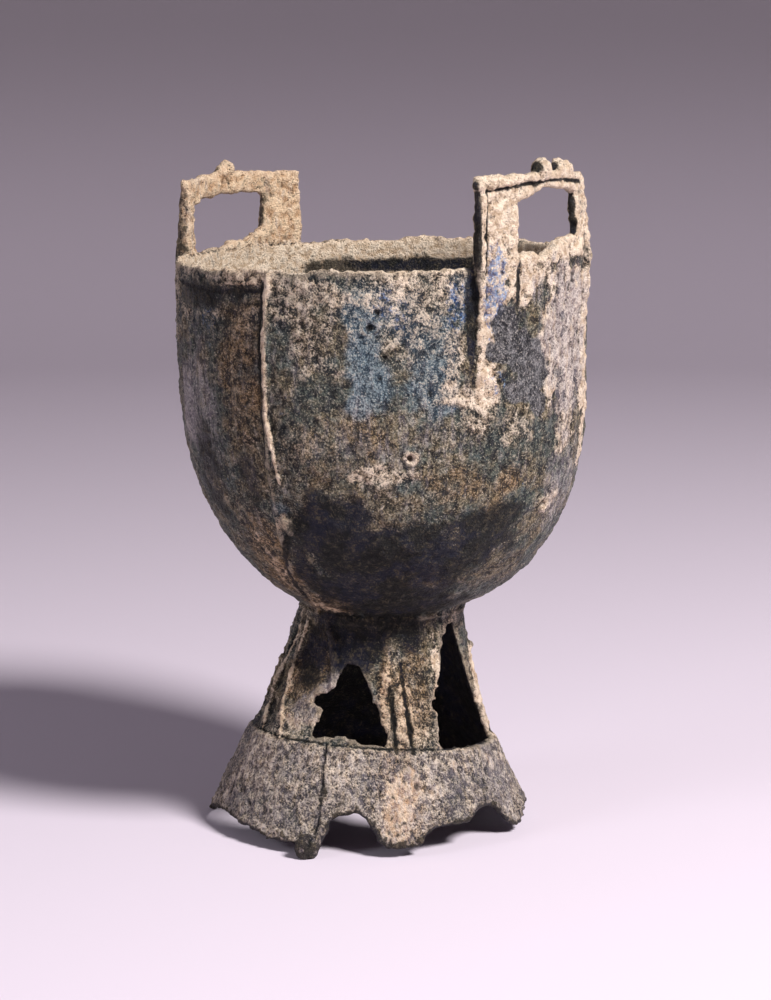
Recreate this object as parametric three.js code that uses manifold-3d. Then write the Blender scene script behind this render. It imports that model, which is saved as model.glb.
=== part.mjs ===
// Bronze fu cauldron: a deep round bowl with two upright loop handles on its rim, standing on a
// flared openwork ring foot. It is one casting, corroded and chipped.
// Millimetres and degrees, +Z up. Angles run anticlockwise from +X, which points at one handle.
// The origin is the middle of the vessel's box, on the ground.
import * as THREE from "three";
import { mergeVertices } from "three/addons/utils/BufferGeometryUtils.js";
import Module from "manifold-3d";

const wasm = await Module();
wasm.setup();
const { degToRad, radToDeg, lerp, clamp, smoothstep } = THREE.MathUtils;

// Bowl
const RIM_Z = 232.2;
const BOWL_R = 82;
const WALL = 4;
const BOWL_TURN_Z = 190.4;
const BOWL_DEPTH = 107;
const BOWL_POWER = 2.5;
const FLOOR_WALL = 5;

// Foot
const NECK_Z = 91.4;
const NECK_R = 32.6;
const FOOT_R = 66.5;
const FOOT_POWER = 1.33;
const FOOT_WALL = 2.8;
const SKIRT_Z = 36.8;
const SKIRT_STEP = 0.9;

// Round mesh and its profile
const SEGMENTS = 48;
const BOWL_STEPS = 9;
const INSIDE_STEPS = 5;
const FOOT_STEPS = 5;
const SKIRT_STEPS = 3;
const EDGE_SEGMENTS = 120;

// Handles: a strap bent with the rim, with a flange round its outer edge
const STRAP_IN = 79.6;
const STRAP_OUT = 83.4;
const STRAP_TAPER = 2.6;
const FLANGE_OUT = 85.8;
const FLANGE_THICK = 2.4;
const STRAP_FOOT = 20;
const FLANGE_FOOT = 46;

// rise is how far a handle's corners are above the rim, and crown how much higher its middle is.
// A leg's angles from the middle of its handle are its edge at the loop, its outer edge at the top
// and its outer edge at the rim. inset is how far the tops of the legs lean in. under is how far the
// underside of the bar is above the rim at arch, its highest point, and sag how much lower it is at
// the legs. sill gives the height of the wall between the legs.
const HANDLES = [
  {
    at: 0,
    rise: 31.2,
    crown: 2.6,
    legs: [[-12.4, -25.2, -25.4], [15.6, 20.6, 24.4]],
    inset: [1.4, 3.2],
    under: 28.2,
    sag: 4.6,
    arch: 2,
    sill: nearSill,
  },
  {
    at: 180,
    rise: 28.6,
    crown: 2.2,
    legs: [[-12.4, -25.4, -25.6], [21.2, 25.4, 26.6]],
    inset: [1.4, 2.2],
    under: 23,
    sag: 2.4,
    arch: -1,
    sill: farSill,
  },
];

// Knobs on the bars of the handles and balls at their corners: angle, height above the rim, radius
// from the axis, size, and how much taller than wide.
const KNOBS = [
  [-3, 35, 81.6, 4.2, 1.15],
  [5.2, 35.4, 81.4, 3.4, 1.1],
  [9.8, 34.4, 81, 3.2, 1],
  [-25.2, 30.8, 83.8, 2.3, 1],
  [181.8, 32.9, 81, 3, 1.1],
  [183.8, 31.4, 81.4, 3, 1],
  [205.4, 28.4, 82, 1.8, 1],
];

// The knob the vessel stands on in front, at the lower end of the mould line down the skirt
const STANDING_KNOB = { at: -72.6, radius: FOOT_R + 0.8, height: 3.4, size: 4.8 };
const SKIRT_LINE_AT = -69.6;
const SKIRT_GROOVE_AT = -71.6;

// Seams of the mould on the bowl: angle at the rim, which way each wanders, how finely
const BOWL_SEAMS = [
  [-82, -1, 10],
  [92, 1, 6],
];

// Grooves down the front strut
const STRUT_GROOVES = [-39.5, -32];

// How the casting has leaned: its axis drifts along LEAN_TOWARDS, its rim and skirt are not level
const LEAN_TOWARDS = 39;
const BOWL_LEAN = 3.2;
const FOOT_LEAN = -4.4;
const RIM_TILT = 1.9;
const RIM_TILT_TOWARDS = 45;
const SKIRT_TILT = 4.8;
const SKIRT_TILT_TOWARDS = -88;

// A shallow dent in one side of the foot
const DENT_AT = -141;
const DENT_Z = 44;
const DENT_WIDE = 40;
const DENT_HIGH = 26;
const DENT_DEEP = 1.6;

// Panels of the foot, between its struts: shallow recesses. left and right are a panel's edges at
// the sill and at the top of the foot. Some are torn or cast through: the hole's edges are given at
// its lower side, bend is how late each closes in on the tip, tip is its angle, height and half
// width, and a bite out of the first edge is at a height, half as high as its second number, and
// as deep as its third.
const PANEL_DEEP = 0.8;
const PANEL_SILL = 38;
const PANEL_TOP = 85.4;
const PANELS = [
  {
    left: [-98, -114],
    right: [-41, -50],
    hole: {
      left: -81,
      right: -43.5,
      bend: [1.4, 1.4],
      low: PANEL_SILL,
      hump: 2.4,
      tip: [-67, 67.9, 4],
      bites: [[53, 4.4, 12], [48, 2, -1]],
      seed: 1,
    },
  },
  {
    left: [-19, -5],
    right: [36, 18],
    hole: {
      left: -17,
      right: 33,
      bend: [3, 1.4],
      low: PANEL_SILL - 1,
      hump: 0,
      tip: [7.5, 84.4, 5],
      bites: [[53.6, 3.6, 4]],
      seed: 2,
    },
  },
  {
    left: [102, 111],
    right: [139, 129],
    hole: {
      left: 105,
      right: 131,
      bend: [1.4, 1.4],
      low: 48,
      hump: 1.5,
      tip: [119, 77, 4],
      bites: [[62, 6, 3]],
      seed: 4,
    },
  },
  {
    left: [162, 172],
    right: [199, 189],
    hole: {
      left: 164,
      right: 197,
      bend: [1.4, 1.4],
      low: 40,
      hump: 0,
      tip: [181, 81, 2],
      bites: [[52, 5, -3]],
      seed: 5,
    },
  },
  { left: [41, 52], right: [79, 69], hole: null },
  { left: [-149, -152], right: [-104, -119], hole: null },
];

// Thin raised lines down the foot: angle at the sill, angle at the top, how proud
const FOOT_LINES = [
  [-99.5, -116.5, 0.9],
  [-117, -132, 0.8],
  [-134, -142, 0.7],
  [-20.5, -7, 0.8],
];

// How far the front of the skirt has lost its lower edge, and the bites out of the edge: where, how
// far they reach on each side, how high, and how square their tops are
const FRONT_LIFT = 3.7;
const FRONT = -45;
const BITES = [
  { at: -61.5, before: 7, after: 6, lift: 14, square: 4 },
  { at: -57, before: 8, after: 11.5, lift: 15.1, square: 2 },
  { at: -1, before: 17, after: 12.5, lift: 14, square: 2.6 },
  { at: -20, before: 15, after: 14.5, lift: 9.8, square: 4 },
  { at: 36, before: 24, after: 16, lift: 6.4, square: 2 },
  { at: 59, before: 13, after: 10, lift: 12.5, square: 2 },
  { at: 119, before: 9, after: 15, lift: 9.5, square: 3 },
  { at: 178, before: 14, after: 9, lift: 13, square: 3 },
  { at: -120, before: 30, after: 46, lift: 6.7, square: 2 },
];

const bronze = new THREE.MeshStandardMaterial({ color: 0x4a4740, roughness: 0.8, metalness: 0.55 });

// A closed three.js geometry as a solid, with its shared vertices merged and its faces out.
function solid(geometry) {
  const bare = geometry.index ? geometry.toNonIndexed() : geometry.clone();
  bare.deleteAttribute("normal");
  bare.deleteAttribute("uv");
  const merged = mergeVertices(bare, 1e-4);
  const faces = [];
  for (let i = 0; i < merged.index.count; i += 3) {
    const face = [0, 1, 2].map((k) => merged.index.getX(i + k));
    if (new Set(face).size === 3) faces.push(face);
  }
  const build = (turn) =>
    new wasm.Manifold(
      new wasm.Mesh({
        numProp: 3,
        vertProperties: merged.attributes.position.array,
        triVerts: Uint32Array.from(faces.flatMap((face) => (turn ? [...face].reverse() : face))),
      }),
    );
  const made = build(false);
  return made.volume() < 0 ? build(true) : made;
}

// A unit box bent into place: place(u, v, w) gives the angle, height and radius of each vertex,
// with u along the angle, v upwards and w outwards, all from 0 to 1.
function bent(across, up, place) {
  const box = new THREE.BoxGeometry(1, 1, 1, across, up, 1);
  const at = box.attributes.position;
  for (let i = 0; i < at.count; i += 1) {
    const [angle, height, radius] = place(at.getX(i) + 0.5, at.getY(i) + 0.5, at.getZ(i) + 0.5);
    const turn = degToRad(angle);
    at.setXYZ(i, radius * Math.cos(turn), radius * Math.sin(turn), height);
  }
  return solid(box);
}

// A small lump of bronze on the surface.
function lump(angle, height, radius, size, tall) {
  const turn = degToRad(angle);
  const ball = new THREE.SphereGeometry(size, 7, 5);
  ball.scale(1, 1, tall);
  ball.translate(radius * Math.cos(turn), radius * Math.sin(turn), height);
  return solid(ball);
}

// The knob the vessel stands on in front, flat underneath.
function standingKnob() {
  const turn = degToRad(STANDING_KNOB.at);
  const ball = new THREE.SphereGeometry(STANDING_KNOB.size, 10, 8);
  ball.rotateX(Math.PI / 2);
  ball.translate(
    STANDING_KNOB.radius * Math.cos(turn),
    STANDING_KNOB.radius * Math.sin(turn),
    STANDING_KNOB.height,
  );
  const at = ball.attributes.position;
  for (let i = 0; i < at.count; i += 1) {
    at.setZ(i, Math.max(0, at.getZ(i)));
  }
  return solid(ball);
}

// An uneven wave between about -1 and 1, for corroded edges.
function ragged(t, seed) {
  const slow = 0.5 * Math.sin(2.1 * t + seed);
  const quick = 0.3 * Math.sin(5.3 * t + 2 * seed);
  return slow + quick + 0.2 * Math.sin(11.9 * t + 3 * seed);
}

const turnBack = (angle) => ((((angle + 180) % 360) + 360) % 360) - 180;

// Bowl curve: a straight wall above BOWL_TURN_Z, rounding in below it.
function bowlPoint(fraction, radius, depth) {
  const down = Math.sin(degToRad(90 * fraction));
  return new THREE.Vector2(radius * Math.sqrt(1 - down ** BOWL_POWER), BOWL_TURN_Z - depth * down);
}

function bowlRadius(z) {
  const down = clamp((BOWL_TURN_Z - z) / BOWL_DEPTH, 0, 1);
  return BOWL_R * Math.sqrt(1 - down ** BOWL_POWER);
}

function footRadius(z) {
  const down = clamp((NECK_Z - z) / NECK_Z, 0, 1);
  const skirt = z < SKIRT_Z ? SKIRT_STEP : 0;
  return NECK_R + (FOOT_R - NECK_R) * down ** FOOT_POWER + skirt;
}

// The whole vessel of revolution: inside of the bowl, lip, outside, foot, and inside of the foot.
function turnedVessel() {
  const profile = [];
  for (let k = INSIDE_STEPS; k >= 0; k -= 1) {
    profile.push(bowlPoint(k / INSIDE_STEPS, BOWL_R - WALL, BOWL_DEPTH - FLOOR_WALL));
  }
  profile.push(new THREE.Vector2(BOWL_R - WALL, RIM_Z - 14));
  profile.push(new THREE.Vector2(BOWL_R - WALL + 0.4, RIM_Z - 0.8));
  profile.push(new THREE.Vector2(BOWL_R - WALL / 2, RIM_Z));
  profile.push(new THREE.Vector2(BOWL_R - 0.3, RIM_Z - 0.6));
  profile.push(new THREE.Vector2(BOWL_R, RIM_Z - 14));
  for (let k = 0; k < BOWL_STEPS; k += 1) {
    const point = bowlPoint(k / BOWL_STEPS, BOWL_R, BOWL_DEPTH);
    if (point.x > NECK_R + 2) profile.push(point);
  }
  for (let k = 0; k <= FOOT_STEPS; k += 1) {
    const z = lerp(NECK_Z, SKIRT_Z, k / FOOT_STEPS);
    profile.push(new THREE.Vector2(footRadius(z), z));
  }
  for (let k = 0; k <= SKIRT_STEPS; k += 1) {
    const z = lerp(SKIRT_Z - 0.6, 0, k / SKIRT_STEPS);
    profile.push(new THREE.Vector2(footRadius(z), z));
  }
  for (let k = 0; k <= FOOT_STEPS; k += 1) {
    const z = lerp(0, NECK_Z - 3, k / FOOT_STEPS);
    profile.push(new THREE.Vector2(footRadius(z) - FOOT_WALL, z));
  }
  profile.push(new THREE.Vector2(NECK_R / 2, BOWL_TURN_Z - BOWL_DEPTH + 1));
  profile.push(new THREE.Vector2(0, BOWL_TURN_Z - BOWL_DEPTH));
  const lathe = new THREE.LatheGeometry(profile, SEGMENTS);
  lathe.rotateX(Math.PI / 2);
  return solid(lathe);
}

// One loop handle: two legs with flanges, the bar between them with its ledge, and the wall below.
function handle({ at, rise, crown, legs, inset, under, sag, arch, sill }) {
  const [from, to] = [legs[0][1], legs[1][1]];
  const top = (angle) => {
    const along = (2 * (angle - from)) / (to - from) - 1;
    return RIM_Z + rise + crown * (1 - along ** 2);
  };
  const climb = (height) => smoothstep(height, RIM_Z, RIM_Z + rise);
  const lean = (angle, height) => {
    return lerp(inset[0], inset[1], (angle - from) / (to - from)) * climb(height);
  };
  const inner = (angle, height) => STRAP_IN - lean(angle, height) + STRAP_TAPER * climb(height);
  const middle = (angle, height) => STRAP_OUT - 0.4 * lean(angle, height);
  const outer = (angle, height) => FLANGE_OUT - lean(angle, height);
  const edge = ([, high, low], height) => lerp(low, high, climb(height));
  const [loopFrom, loopTo] = [legs[0][0] - 1, legs[1][0] + 1];

  const strap = (leg) =>
    bent(2, 5, (u, v, w) => {
      const height = lerp(RIM_Z - STRAP_FOOT, top(leg[0]), v);
      const loopEdge = leg[0] + (u < 0.5 ? 0.5 * ragged(height / 6, at + leg[0]) : 0);
      const angle = lerp(loopEdge, edge(leg, height), u);
      const flush = smoothstep(height, RIM_Z - STRAP_FOOT, RIM_Z - 4);
      const face = lerp(BOWL_R + 0.2, middle(angle, height), flush);
      return [at + angle, height, lerp(inner(angle, height), face, w)];
    });
  const flange = (leg) =>
    bent(1, 5, (u, v, w) => {
      const height = lerp(RIM_Z - FLANGE_FOOT, top(leg[1]), v);
      const flush = smoothstep(height, RIM_Z - FLANGE_FOOT, RIM_Z + 4);
      const inwards = u * radToDeg(FLANGE_THICK / FLANGE_OUT) + 1 - flush;
      const angle = edge(leg, height) - Math.sign(leg[0]) * inwards;
      const face = lerp(BOWL_R, outer(angle, height), flush);
      return [at + angle, height, lerp(inner(angle, height) + 1, face, w)];
    });
  const bar = bent(8, 1, (u, v, w) => {
    const angle = lerp(loopFrom, loopTo, u);
    const aside = (angle - arch) / ((loopTo - loopFrom) / 2);
    const low = RIM_Z + under - sag * aside ** 2 + 0.4 * ragged(angle, at);
    const height = lerp(low, top(angle), v);
    return [at + angle, height, lerp(inner(angle, height), middle(angle, height), w)];
  });
  const ledge = bent(8, 1, (u, v, w) => {
    const angle = lerp(from, to, u);
    const crest = top(angle) + 0.3 * ragged(angle / 2, at + 1);
    const height = lerp(crest - FLANGE_THICK, crest, v);
    return [at + angle, height, lerp(inner(angle, height) + 0.2, outer(angle, height), w)];
  });
  const wall = bent(8, 1, (u, v, w) => {
    const angle = lerp(loopFrom, loopTo, u);
    const height = lerp(RIM_Z - 5, RIM_Z + sill(angle), v);
    return [at + angle, height, lerp(BOWL_R - WALL + 0.7, BOWL_R + 0.4, w)];
  });
  return [...legs.map(strap), ...legs.map(flange), bar, ledge, wall];
}

// Wall between the legs of the handle at +X: raised towards one leg, with a V notch.
function nearSill(angle) {
  const notch = 2.6 * Math.max(0, 1 - Math.abs(angle + 2.6) / 3.4);
  return 4 + 3.8 * smoothstep(angle, 2, 7) - notch;
}

// Wall between the legs of the handle at -X: low, with a fillet of crust against one leg.
function farSill(angle) {
  return 0.4 + 1.2 * smoothstep(-angle, -8, -2) + 6 * smoothstep(-angle, 4, 12);
}

// A raised line on the surface: route(v) gives its angle, height, how wide and how proud it is.
function ridge(steps, radiusAt, route) {
  return bent(1, steps, (u, v, w) => {
    const { angle, height, wide, proud } = route(v);
    const radius = radiusAt(height);
    const spread = radToDeg(wide / radius) * lerp(1, 0.45, w);
    return [angle + (u - 0.5) * spread, height, radius + lerp(-1.5, proud, w)];
  });
}

// Seams that the two halves of the mould left on the bowl, wandering towards the neck.
function bowlSeam(at, side, steps) {
  return ridge(steps, bowlRadius, (v) => {
    const down = 1 - v;
    return {
      angle: at + side * (4.5 * down + 12 * down ** 10),
      height: lerp(NECK_Z + 7, RIM_Z - 1, v),
      wide: 3.4 + 0.6 * ragged(9 * v, 3),
      proud: 1.1 + 0.4 * ragged(13 * v, 5),
    };
  });
}

// The recess of a panel of the foot, from its sill up to a narrow top under the neck.
function panelRecess({ left, right }) {
  return bent(3, 5, (u, v, w) => {
    const height = lerp(PANEL_SILL, PANEL_TOP, v);
    const angle = lerp(lerp(left[0], left[1], v), lerp(right[0], right[1], v), u);
    const deep = PANEL_DEEP * smoothstep(v, -0.3, 0.35);
    const radius = footRadius(height);
    return [angle, height, lerp(radius - deep, radius + 5, w)];
  });
}

// The hole torn or cast through a panel, with uneven edges.
function panelHole({ hole: { left, right, bend, low, hump, tip, bites, seed } }) {
  const [tipAngle, tipZ, tipHalf] = tip;
  return bent(3, 11, (u, v, w) => {
    const height = lerp(low, tipZ, v);
    const from = lerp(left, tipAngle - tipHalf, v ** bend[0]);
    const to = lerp(right, tipAngle + tipHalf, v ** bend[1]);
    const bite = bites.reduce((sum, [at, half, deep]) => {
      return sum + deep * Math.max(0, 1 - Math.abs(height - at) / half);
    }, 0);
    const torn = u < 0.5 ? 0.7 * ragged(9 * v, seed) - bite : 0.9 * ragged(10 * v, seed + 4);
    const sill = u > 0.2 && u < 0.5 ? hump : 0.5 * ragged(4 * u, seed);
    return [lerp(from, to, u) + torn, height + sill * (1 - v), lerp(18, FOOT_R + 8, w)];
  });
}

// A groove down the front of a strut.
function strutGroove(at) {
  return bent(1, 3, (u, v, w) => {
    const height = lerp(SKIRT_Z + 1, 72, v);
    const half = 1.6 * (1 - 0.5 * v);
    const deep = 1.5 * (1 - v ** 2) + 0.1;
    const radius = footRadius(height);
    return [at - 4.5 * v + half * (2 * u - 1), height, lerp(radius - deep, radius + 3, w)];
  });
}

// The mould line down the skirt, and the groove beside it.
function skirtLine() {
  return ridge(4, footRadius, (v) => ({
    angle: SKIRT_LINE_AT,
    height: lerp(4, 42, v),
    wide: 2.6,
    proud: 0.9,
  }));
}

function skirtGroove() {
  return bent(1, 4, (u, v, w) => {
    const height = lerp(5, 41.4, v);
    const radius = footRadius(height);
    return [SKIRT_GROOVE_AT + (u - 0.5) * 1.3, height, lerp(radius - 1, radius + 4, w)];
  });
}

// A thin raised line down the foot.
function footLine([low, high, proud]) {
  return ridge(5, footRadius, (v) => ({
    angle: lerp(low, high, v),
    height: lerp(PANEL_SILL - 1, PANEL_TOP, v),
    wide: 1.8,
    proud: proud + 0.25 * ragged(8 * v, low),
  }));
}

// The torn rib that runs down the recess and ends hanging in the front hole.
function tornRib() {
  return ridge(5, (z) => footRadius(z) - PANEL_DEEP / 2, (v) => ({
    angle: -76 - 4 * v - 12 * v ** 2,
    height: lerp(58.4, PANEL_TOP + 2, v),
    wide: 2.6 + 0.5 * ragged(9 * v, 2),
    proud: 0.9,
  }));
}

// Height of the skirt's lower edge above the ground.
function skirtEdge(angle) {
  const lifts = BITES.map(({ at, before, after, lift, square }) => {
    const past = turnBack(angle - at);
    const share = Math.abs(past) / (past < 0 ? before : after);
    return lift * (1 - share ** square);
  });
  const front = FRONT_LIFT * smoothstep(Math.cos(degToRad(angle - FRONT)), -0.1, 0.3);
  return Math.max(0, front, ...lifts);
}

// Everything below the skirt's edge, as a ring to cut away.
function belowSkirt() {
  const low = -10;
  const section = [
    new THREE.Vector2(30, low),
    new THREE.Vector2(90, low),
    new THREE.Vector2(90, 0),
    new THREE.Vector2(30, 0),
    new THREE.Vector2(30, low),
  ];
  const ring = new THREE.LatheGeometry(section, EDGE_SEGMENTS);
  ring.rotateX(Math.PI / 2);
  const at = ring.attributes.position;
  for (let i = 0; i < at.count; i += 1) {
    if (at.getZ(i) > low / 2) {
      at.setZ(i, skirtEdge(radToDeg(Math.atan2(at.getY(i), at.getX(i)))));
    }
  }
  return solid(ring);
}

// The lean of the axis, the tilts of the rim and skirt and the dent, applied to the finished casting.
function settle(x, y, z) {
  const angle = radToDeg(Math.atan2(y, x));
  const bowl = BOWL_LEAN * (1 - smoothstep(z, 100, 215)) * smoothstep(z, 87, 101);
  const foot = FOOT_LEAN * (1 - smoothstep(z, 20, 98));
  const rim = RIM_TILT * Math.cos(degToRad(angle - RIM_TILT_TOWARDS)) * smoothstep(z, 130, RIM_Z);
  const waist = Math.sin(Math.PI * clamp(z / NECK_Z, 0, 1));
  const skirt = SKIRT_TILT * Math.cos(degToRad(angle - SKIRT_TILT_TOWARDS)) * waist;
  const fromDent = Math.hypot(turnBack(angle - DENT_AT) / DENT_WIDE, (z - DENT_Z) / DENT_HIGH);
  const dent = 1 - (DENT_DEEP / FOOT_R) * smoothstep(1 - fromDent, 0, 0.8);
  const towards = degToRad(LEAN_TOWARDS);
  return [
    x * dent + (bowl + foot) * Math.cos(towards),
    y * dent + (bowl + foot) * Math.sin(towards),
    z + rim + skirt,
  ];
}

function cauldron() {
  const added = [
    turnedVessel(),
    ...HANDLES.flatMap(handle),
    ...BOWL_SEAMS.map(([at, side, steps]) => bowlSeam(at, side, steps)),
    ...KNOBS.map(([at, above, radius, size, tall]) => lump(at, RIM_Z + above, radius, size, tall)),
    // a bead on the neck and crust on the bowl's seam
    lump(38, 73.6, footRadius(73.6) + 0.6, 1.8, 1),
    lump(-82.5, 133.4, bowlRadius(133.4) - 0.6, 3.4, 1.6),
    skirtLine(),
  ];
  const cut = [
    belowSkirt(),
    ...PANELS.map(panelRecess),
    ...STRUT_GROOVES.map(strutGroove),
    skirtGroove(),
  ];
  const holes = PANELS.filter((panel) => panel.hole).map(panelHole);
  const casting = wasm.Manifold.union(added)
    .subtract(wasm.Manifold.union(cut))
    .add(wasm.Manifold.union(FOOT_LINES.map(footLine)))
    .subtract(wasm.Manifold.union(holes))
    .add(tornRib())
    .add(standingKnob());
  const mesh = casting.getMesh();
  const at = new Float32Array(mesh.numVert * 3);
  for (let i = 0; i < mesh.numVert; i += 1) {
    const vertex = mesh.vertProperties.subarray(i * mesh.numProp, i * mesh.numProp + 3);
    at.set(settle(...vertex), 3 * i);
  }
  const geometry = new THREE.BufferGeometry();
  geometry.setAttribute("position", new THREE.BufferAttribute(at, 3));
  geometry.setIndex(new THREE.BufferAttribute(mesh.triVerts, 1));
  geometry.computeBoundingBox();
  const middle = geometry.boundingBox.getCenter(new THREE.Vector3());
  geometry.translate(-middle.x, -middle.y, -geometry.boundingBox.min.z);
  geometry.computeVertexNormals();
  return geometry;
}

const group = new THREE.Group();
const vessel = new THREE.Mesh(cauldron(), bronze);
vessel.name = "cauldron";
group.add(vessel);

export default group;
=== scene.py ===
"""Looks of a corroded bronze fu cauldron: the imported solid, re-cut finely, with crust, pits and colours.

Lengths of the casting are in millimetres and its angles in degrees, anticlockwise from +X, which points
at one handle. Blender's lengths and the studio's are in metres, unless a name or a comment says otherwise.
"""

import math
from itertools import product

import bpy
import numpy as np
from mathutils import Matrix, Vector


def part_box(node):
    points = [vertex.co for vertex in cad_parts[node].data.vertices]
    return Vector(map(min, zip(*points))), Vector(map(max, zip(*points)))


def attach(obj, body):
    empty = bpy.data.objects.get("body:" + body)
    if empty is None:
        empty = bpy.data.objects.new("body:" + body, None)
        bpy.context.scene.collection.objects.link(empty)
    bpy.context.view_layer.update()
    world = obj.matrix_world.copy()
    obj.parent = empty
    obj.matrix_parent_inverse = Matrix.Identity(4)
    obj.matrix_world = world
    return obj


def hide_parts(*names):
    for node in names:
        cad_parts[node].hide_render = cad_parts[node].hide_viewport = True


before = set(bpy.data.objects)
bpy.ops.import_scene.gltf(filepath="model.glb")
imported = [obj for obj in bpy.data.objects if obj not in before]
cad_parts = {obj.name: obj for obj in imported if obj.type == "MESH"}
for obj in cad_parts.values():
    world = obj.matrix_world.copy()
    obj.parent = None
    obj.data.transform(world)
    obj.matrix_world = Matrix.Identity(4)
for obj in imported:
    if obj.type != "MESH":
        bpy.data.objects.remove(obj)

MM = 0.001

# Driving dimensions of the casting, in its own upright frame before it settled.
RIM_Z = 232.2
BOWL_R = 82
WALL = 4
BOWL_TURN_Z = 190.4
BOWL_DEPTH = 107
BOWL_POWER = 2.5
FLOOR_WALL = 5
NECK_Z = 91.4
NECK_R = 32.6
FOOT_R = 66.5
FOOT_POWER = 1.33
FOOT_WALL = 2.8
SKIRT_Z = 36.8
SKIRT_STEP = 0.9

# Radius of the outer faces of the handles' straps. Only their flanges and ledges stand outside it.
STRAP_FACE = 83.4

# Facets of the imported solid: degrees of each round it, and steps down the bowl's curve.
SEGMENT = 7.5
BOWL_STEPS = 9
INSIDE_STEPS = 5
MOST_ROUNDING = 3

# How the casting settled: its lean, the tilts of rim and skirt, and the dent.
LEAN_TOWARDS = 39
BOWL_LEAN = 3.2
FOOT_LEAN = -4.4
RIM_TILT = 1.9
RIM_TILT_TOWARDS = 45
SKIRT_TILT = 4.8
SKIRT_TILT_TOWARDS = -88
DENT_AT = -141
DENT_Z = 44
DENT_WIDE = 40
DENT_HIGH = 26
DENT_DEEP = 1.6
UNSETTLE_ROUNDS = 12

# Middle of the settled casting's box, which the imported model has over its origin.
BOX_MIDDLE = np.array([0.506, 0.178, 0.0])

# The fine mesh.
VOXEL = 0.9
TRIANGLES = 190_000
SOFTEN = 0.5
SOFTEN_ROUNDS = 3
HOLLOW_ROUNDS = 12

# Heights of the relief: waves, dimples, grains, crust, lines and pits, in millimetres.
WAVES_HIGH = 0.28
DIMPLES_HIGH = 0.7
GRAINS_HIGH = 0.9
CRUST_HIGH = 0.35
RIDGES_HIGH = 0.5
CRACKS_DEEP = 0.35
SLATE_DEEP = 0.35
PITS_DEEP = 1.3
LIP_HIGH = 1.8
LIP_WORN = 0.5

# How much weaker each finer octave of the noise is, and what their sum is divided by.
WEAKER = 1.8
WHOLE = 1.6

# Shrinks heights before the noise, so that the streaks run upright.
STREAKS_STRETCH = np.array([1, 1, 0.22])

# How much of the relief is left on the inner walls.
INSIDE_CALM = 0.25

# The angle in the middle of the side that the patches are laid on. The other side is scattered with noise.
SHOWN_MIDDLE = -50

# The angle in the middle of the inner wall's stretch where a shadow under the rim is painted dark.
RIM_SHADOW_MIDDLE = 92

# Patches of corrosion: angle and height of the middle, half widths in degrees and millimetres, strength.
# TAN is cream crust, BLACK soot, except two narrow strips of painted shadow beside the right handle's near
# leg, SLATE smooth grey, OCHRE brown earth, FILM_AND_SHEEN a pale bloom, with a painted sheen on the bowl's
# left side in two entries, and STREAKS are rough upright streaks.
TAN = [
    (-83.5, 134, 4, 6, 0.8),
    (-70, 224, 13, 6, 0.55),
    (-70, 206, 13, 18, 0.48),
    (-72, 184, 10, 10, 0.36),
    (-48, 222, 8, 8, 0.5),
    (-46, 212, 5, 6, 0.5),
    (-34, 222, 5, 12, 0.52),
    (-31, 198, 3.5, 18, 0.5),
    (-20.5, 216, 5, 24, 0.95),
    (-22, 192, 3.5, 12, 0.75),
    (-26, 184, 8, 8, 0.62),
    (-15, 171, 8, 9, 0.48),
    (-25, 175, 6, 6, 0.52),
    (-8, 226, 8, 9, 0.85),
    (3, 205, 7, 30, 0.9),
    (13, 212, 9, 26, 0.85),
    (12, 184, 6, 16, 0.66),
    (1, 184, 5, 9, 0.9),
    (24, 192, 7, 44, 0.8),
    (9, 168, 8, 10, 0.6),
    (-54, 155, 8, 5, 0.55),
    (-51, 146, 4, 14, 0.42),
    (-44, 162, 2.6, 2.6, 0.66),
    (-74, 165, 9, 12, 0.42),
    (-91, 165, 3, 4, 0.55),
    (-97, 116, 13, 15, 0.5),
    (-78, 94, 22, 5, 0.6),
    (5, 138, 6, 5, 0.62),
    (-30, 107, 14, 3.5, 0.4),
    (-5, 124, 5, 4, 0.5),
    (-34, 26, 4, 7, 0.85),
    (-38, 19, 4, 7, 0.9),
    (-42, 12, 4, 7, 0.85),
    (-70, 25, 5, 12, 0.5),
    (-12, 30, 3, 4, 0.9),
    (-25, 21, 2, 2.5, 0.9),
    (12, 30, 5, 5, 0.7),
    (-35, 52, 5, 18, 0.56),
    (-46, 60, 4, 20, 0.6),
    (-14, 66, 3, 22, 0.85),
    (34, 60, 5, 22, 0.8),
    (-92, 42, 12, 4, 0.7),
    (-104, 60, 3, 24, 0.65),
]
TEAL = [
    (-161, 262, 3, 6, 0.7),
    (-56, 206, 5, 22, 1),
    (-52, 190, 5, 12, 0.8),
    (-45, 214, 8, 12, 0.75),
    (-38, 200, 8, 22, 0.7),
    (-34, 186, 5, 9, 0.8),
    (-57, 182, 3, 6, 0.8),
    (-30, 222, 4, 9, 0.7),
    (-84, 139, 4, 4, 0.7),
]
BLUE = [
    (-20, 222, 4, 20, 0.7),
    (-48, 216, 6, 8, 0.5),
    (-31, 218, 4, 10, 0.6),
    (-105, 212, 5, 6, 0.5),
    (-19, 190, 3, 6, 0.5),
]
BLACK = [
    (-104, 222, 20, 5, 0.4),
    (-175, 277, 5, 5, 0.8),
    (-68, 128, 13, 16, 1),
    (-45, 118, 24, 16, 0.95),
    (-55, 104, 32, 9, 0.85),
    (-20, 128, 15, 13, 0.8),
    (-93, 150, 4, 13, 0.5),
    (-112, 150, 7, 20, 0.4),
    (-40, 95, 32, 6, 0.9),
    (-83, 112, 5, 14, 0.8),
    (-68, 75, 20, 12, 0.95),
    (-95, 72, 14, 14, 0.9),
    (-80, 86, 26, 5, 0.7),
    (-40, 86, 26, 5, 0.8),
    (-30, 80, 12, 7, 0.6),
    # These two narrow strips are painted shadow beside the flange and the inner edge of the right handle's
    # near leg.
    (-26.5, 214, 1.3, 22, 0.95),
    (-12, 224, 0.8, 9, 0.8),
]
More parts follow.
